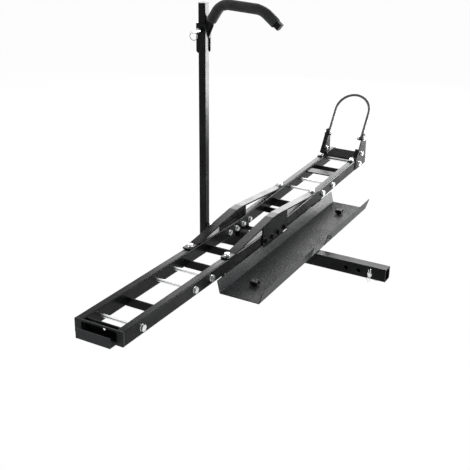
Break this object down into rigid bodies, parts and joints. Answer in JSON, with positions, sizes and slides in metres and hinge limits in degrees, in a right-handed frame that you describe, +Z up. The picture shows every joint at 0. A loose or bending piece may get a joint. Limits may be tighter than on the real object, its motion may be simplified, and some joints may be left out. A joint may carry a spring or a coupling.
{
  "type": "hitch motorcycle carrier",
  "caption": "Hitch-mounted motorcycle carrier: a wheel track with chock and hoop, a stowed loading ramp and a post with a padded arm.",
  "frame": {"origin": "on the hitch bar's centre line, in its middle pin hole", "axes": "+X along the track towards the chock and along the pin holes, -Y towards the vehicle, +Z up"},
  "size_m": [2.0538, 0.8114, 0.9971],
  "materials": {
    "black_powder_coat": "gloss",
    "zinc_steel": "satin",
    "black_plastic": "matte",
    "grip_foam": "matte",
    "mat_rubber": "matte"
  },
  "bodies": {
    "carrier": {"near_left_rail": "black_powder_coat", "near_right_rail": "black_powder_coat", "far_left_rail": "black_powder_coat", "far_right_rail": "black_powder_coat", "ramp_end_plate": "black_powder_coat", "near_cross_plates": "black_powder_coat", "far_cross_plates": "black_powder_coat", "joint_tie": "black_powder_coat", "cross_rods": "zinc_steel", "cross_nuts": "zinc_steel", "left_gusset": "black_powder_coat", "right_gusset": "black_powder_coat", "gusset_bolts": "black_powder_coat", "gusset_nuts": "zinc_steel", "left_strap": "black_powder_coat", "right_strap": "black_powder_coat", "strap_bolts": "zinc_steel", "strap_nuts": "zinc_steel", "bar_risers": "black_powder_coat", "hitch_bar": "black_powder_coat", "post": "black_powder_coat", "post_cap": "black_plastic", "post_bolts": "zinc_steel", "post_nuts": "zinc_steel", "ramp": "black_powder_coat", "ramp_arms": "black_powder_coat", "tie_eye": "black_powder_coat", "chock_plate": "black_powder_coat", "grip_mat": "mat_rubber", "left_chock_bracket": "black_powder_coat", "right_chock_bracket": "black_powder_coat", "chock_bolts": "zinc_steel", "chock_nuts": "zinc_steel", "pivot_bolts": "zinc_steel", "pivot_nuts": "zinc_steel", "rail_plugs": "black_plastic"},
    "near_knob": {"near_knob": "black_plastic", "near_stud": "zinc_steel"},
    "far_knob": {"far_knob": "black_plastic", "far_stud": "zinc_steel"},
    "hitch_pin": {"hitch_pin": "zinc_steel", "hitch_clip": "zinc_steel"},
    "slider": {"slider": "black_powder_coat", "arm": "black_powder_coat", "arm_gusset": "black_powder_coat", "arm_plug": "black_plastic", "foam_grip": "grip_foam"},
    "clamp_screw": {"clamp_screw": "zinc_steel"},
    "pull_ring": {"pull_ring": "zinc_steel"},
    "hoop": {"hoop": "black_powder_coat"}
  },
  "joints": [
    {"name": "near_knob_turn", "type": "hinge", "parent": "carrier", "child": "near_knob", "pos_m": [-0.373, 0.255, 0.038], "axis": [0, 0, 1], "continuous": true},
    {"name": "far_knob_turn", "type": "hinge", "parent": "carrier", "child": "far_knob", "pos_m": [0.399, 0.255, 0.038], "axis": [0, 0, 1], "continuous": true},
    {"name": "hitch_pin_turn", "type": "hinge", "parent": "carrier", "child": "hitch_pin", "pos_m": [0, -0.05, 0], "axis": [1, 0, 0], "continuous": true},
    {"name": "slider_slide", "type": "slide", "parent": "carrier", "child": "slider", "axis": [0, 0, 1], "range_m": [-0.55, 0.06]},
    {"name": "clamp_screw_turn", "type": "hinge", "parent": "slider", "child": "clamp_screw", "pos_m": [-0.05, 0.686, 0.821], "axis": [1, 0, 0], "continuous": true},
    {"name": "pull_ring_swing", "type": "hinge", "parent": "clamp_screw", "child": "pull_ring", "pos_m": [-0.0724, 0.686, 0.82096], "axis": [0, 1, 0], "range_deg": [-60, 60]},
    {"name": "hoop_tilt", "type": "hinge", "parent": "carrier", "child": "hoop", "pos_m": [0.87544, 0.435, 0.2204], "axis": [0, 1, 0], "range_deg": [0, 50]}
  ]
}
